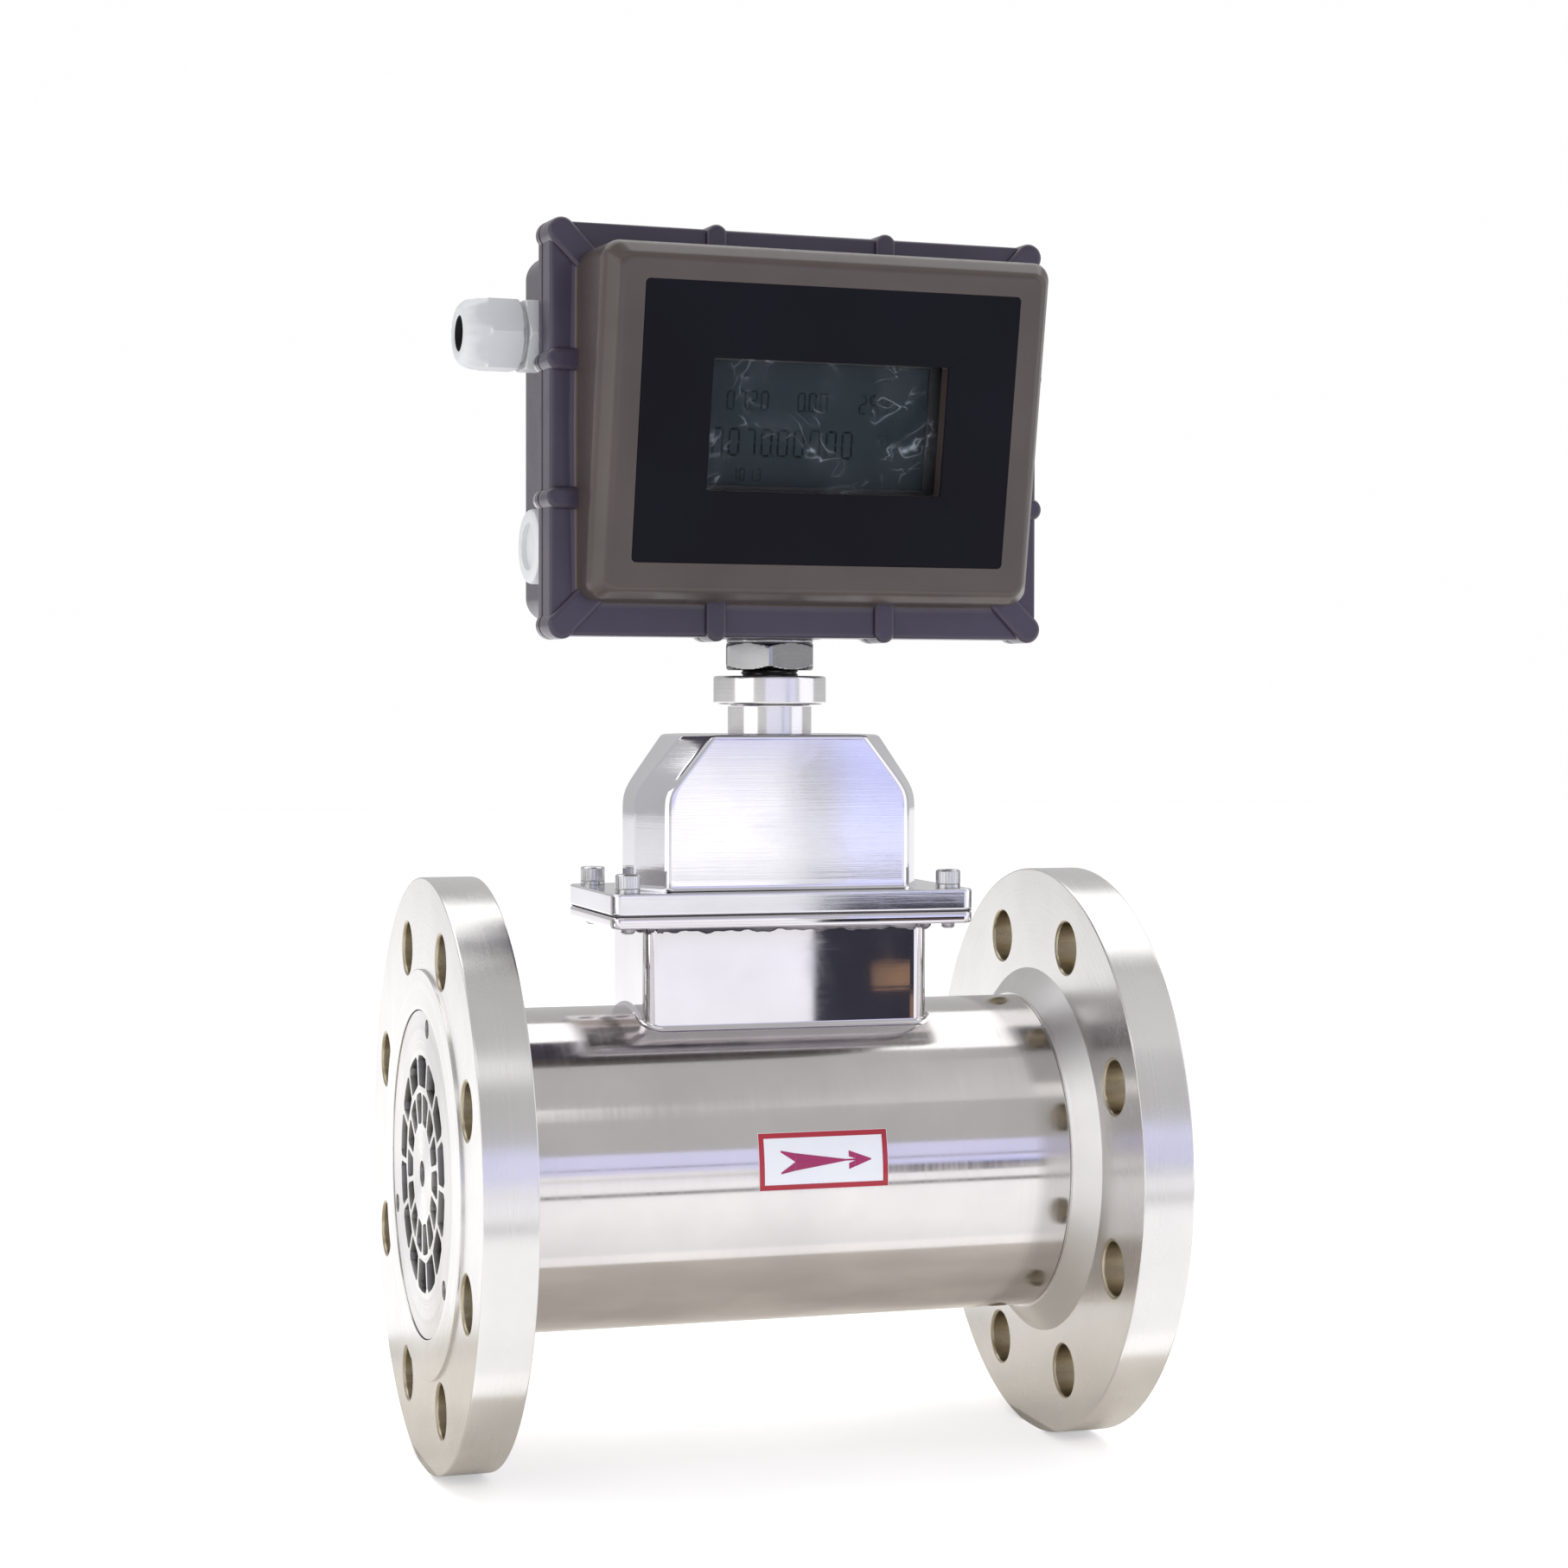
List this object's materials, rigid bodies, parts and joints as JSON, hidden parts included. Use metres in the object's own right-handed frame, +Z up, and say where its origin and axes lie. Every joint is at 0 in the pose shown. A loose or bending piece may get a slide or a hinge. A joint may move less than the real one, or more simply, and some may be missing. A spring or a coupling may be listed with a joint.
{
  "type": "turbine flow meter",
  "caption": "Flanged turbine flow meter: a pipe with a rotor cartridge inside, a welded pedestal under a bolted hood, and a display head that swivels on a threaded neck.",
  "frame": {"origin": "centre of the inlet flange's rim on the side of the mating pipe, 1 mm behind its raised sealing face, on the pipe's axis", "axes": "+X along the pipe in the direction of flow, +Z up from the pipe to the display head, -Y towards the side the display faces"},
  "size_m": [0.24, 0.2, 0.4185],
  "materials": {
    "stainless_tube": "fine circumferential polish",
    "stainless_flange": "turned",
    "stainless_cast": "polished casting",
    "stainless_fastener": "bright",
    "nickel": "bright nickel",
    "weld_bead": "brushed weld",
    "enclosure_grey": "semi-gloss paint",
    "panel_film": "gloss film",
    "window_clear": "clear",
    "screen": "dark liquid crystal",
    "board_green": "solder mask",
    "grey_plastic": "moulded",
    "black_plastic": "moulded",
    "cell_wrap": "shrink film",
    "seal_rubber": "moulded",
    "fibre_gasket": "pressed sheet",
    "cartridge_alloy": "machined",
    "bearing_steel": "ground",
    "magnet_metal": "plated",
    "label_film": "printed film",
    "spring_metal": "sprung strip"
  },
  "bodies": {
    "meter": {"meter_tube": "stainless_tube", "inlet_flange": "stainless_flange", "outlet_flange": "stainless_flange", "flow_label": "label_film", "sensor_pedestal": "stainless_tube", "pedestal_plate": "stainless_tube", "plate_weld": "weld_bead", "hood_gasket": "fibre_gasket", "sensor_hood": "stainless_cast", "hood_screws": "stainless_fastener", "hood_washers": "stainless_fastener", "neck_sleeve": "stainless_cast", "swivel_stem": "nickel", "stem_lock_nut": "nickel", "stem_washer": "nickel", "stem_inner_nut": "nickel", "sensor_bosses": "stainless_tube", "pickup_sensor": "stainless_fastener", "pressure_sensor": "stainless_fastener", "temperature_probe": "stainless_fastener", "cartridge_sleeve": "cartridge_alloy", "flow_straightener": "cartridge_alloy", "straightener_screws": "stainless_fastener", "guide_bolt": "stainless_fastener", "inlet_guide": "cartridge_alloy", "outlet_guide": "cartridge_alloy", "inlet_o_ring": "seal_rubber", "outlet_o_ring": "seal_rubber", "front_outer_race": "bearing_steel", "rear_outer_race": "bearing_steel"},
    "rotor": {"front_inner_race": "bearing_steel", "front_balls": "bearing_steel", "rear_inner_race": "bearing_steel", "rear_balls": "bearing_steel", "rotor_shaft": "stainless_fastener", "turbine_rotor": "cartridge_alloy", "rotor_nut": "stainless_fastener", "magnet_wheel": "cartridge_alloy", "wheel_magnets": "magnet_metal"},
    "head": {"stem_o_ring": "seal_rubber", "rear_housing": "enclosure_grey", "housing_gasket": "seal_rubber", "front_cover": "enclosure_grey", "cover_screws": "stainless_fastener", "front_panel": "panel_film", "window_glass": "window_clear", "lcd_module": "black_plastic", "lcd_screen": "screen", "display_board": "board_green", "display_pillars": "spring_metal", "main_board": "board_green", "board_standoffs": "spring_metal", "terminal_block": "black_plastic", "battery": "cell_wrap", "battery_clip": "spring_metal", "gland_body": "grey_plastic", "gland_nut": "grey_plastic", "gland_seal": "seal_rubber", "entry_locknuts": "grey_plastic", "blanking_plug": "grey_plastic"}
  },
  "joints": [
    {"name": "rotor_spin", "type": "hinge", "parent": "meter", "child": "rotor", "pos_m": [0.109, 0, 0], "axis": [1, 0, 0], "continuous": true},
    {"name": "head_swivel", "type": "hinge", "parent": "meter", "child": "head", "pos_m": [0.1215, 0, 0.185], "axis": [0, 0, 1], "range_deg": [-174, 166]}
  ]
}
